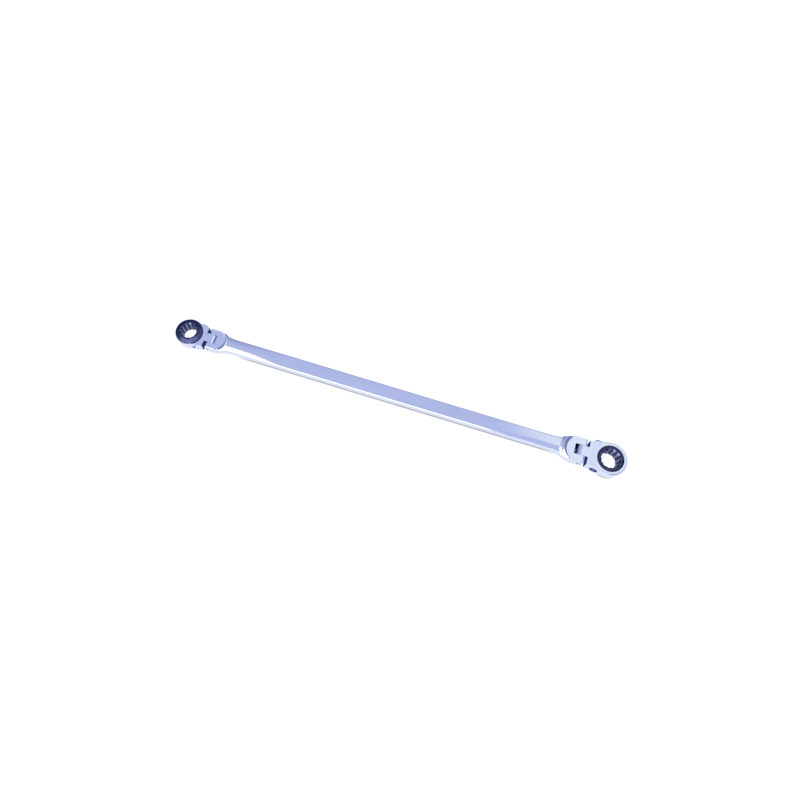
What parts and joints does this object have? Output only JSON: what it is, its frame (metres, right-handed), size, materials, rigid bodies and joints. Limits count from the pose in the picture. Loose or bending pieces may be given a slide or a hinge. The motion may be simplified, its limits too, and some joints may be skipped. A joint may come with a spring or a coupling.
{
  "type": "ratchet wrench",
  "caption": "Extra-long double-box ratchet wrench: slim chrome bar with a flex head on a fork at each end, each holding a dark ring gear with a through socket.",
  "frame": {"origin": "middle of the overall length, on the centre line and mid-plane of the handle", "axes": "+X along the handle towards the large head, +Y along the flex pins, +Z out of the handle's upper face"},
  "size_m": [0.3454, 0.0246, 0.0118],
  "materials": {
    "handle_chrome": "polished",
    "large_head_chrome": "polished",
    "small_head_chrome": "polished",
    "large_gear_black": "black phosphate, oiled",
    "small_gear_black": "black phosphate, oiled",
    "ring_black": "blackened spring steel",
    "pawl_steel": "hardened, ground",
    "ball_steel": "polished bearing steel",
    "spring_steel": "drawn wire",
    "plug_chrome": "polished",
    "pin_steel": "ground"
  },
  "bodies": {
    "handle": {"handle": "handle_chrome", "large_pivot_pin": "pin_steel", "small_pivot_pin": "pin_steel", "large_flex_ball": "ball_steel", "small_flex_ball": "ball_steel", "large_flex_spring": "spring_steel", "small_flex_spring": "spring_steel"},
    "large_head": {"large_head": "large_head_chrome", "large_retaining_ring": "ring_black", "large_pawl_spring": "spring_steel", "large_pocket_plug": "plug_chrome"},
    "large_ring_gear": {"large_ring_gear": "large_gear_black"},
    "large_pawl": {"large_pawl": "pawl_steel", "large_pawl_ball": "ball_steel"},
    "small_head": {"small_head": "small_head_chrome", "small_retaining_ring": "ring_black", "small_pawl_spring": "spring_steel", "small_pocket_plug": "plug_chrome"},
    "small_ring_gear": {"small_ring_gear": "small_gear_black"},
    "small_pawl": {"small_pawl": "pawl_steel", "small_pawl_ball": "ball_steel"}
  },
  "joints": [
    {"name": "large_flex", "type": "hinge", "parent": "handle", "child": "large_head", "pos_m": [0.13945, 0, 0], "axis": [0, -1, 0], "range_deg": [-90, 90]},
    {"name": "large_gear_spin", "type": "hinge", "parent": "large_head", "child": "large_ring_gear", "pos_m": [0.16045, 0, 0], "axis": [0, 0, 1], "continuous": true},
    {"name": "large_pawl_slide", "type": "slide", "parent": "large_head", "child": "large_pawl", "axis": [-0.866, 0.5, 0], "range_m": [0, 0.0005], "stiffness_N_per_m": 800, "springref_m": -0.0012, "deforming": ["large_pawl_spring"]},
    {"name": "small_flex", "type": "hinge", "parent": "handle", "child": "small_head", "pos_m": [-0.14535, 0, 0], "axis": [0, 1, 0], "range_deg": [-90, 90]},
    {"name": "small_gear_spin", "type": "hinge", "parent": "small_head", "child": "small_ring_gear", "pos_m": [-0.16255, 0, 0], "axis": [0, 0, -1], "continuous": true},
    {"name": "small_pawl_slide", "type": "slide", "parent": "small_head", "child": "small_pawl", "axis": [0.866, 0.5, 0], "range_m": [0, 0.0005], "stiffness_N_per_m": 800, "springref_m": -0.0012, "deforming": ["small_pawl_spring"]}
  ]
}
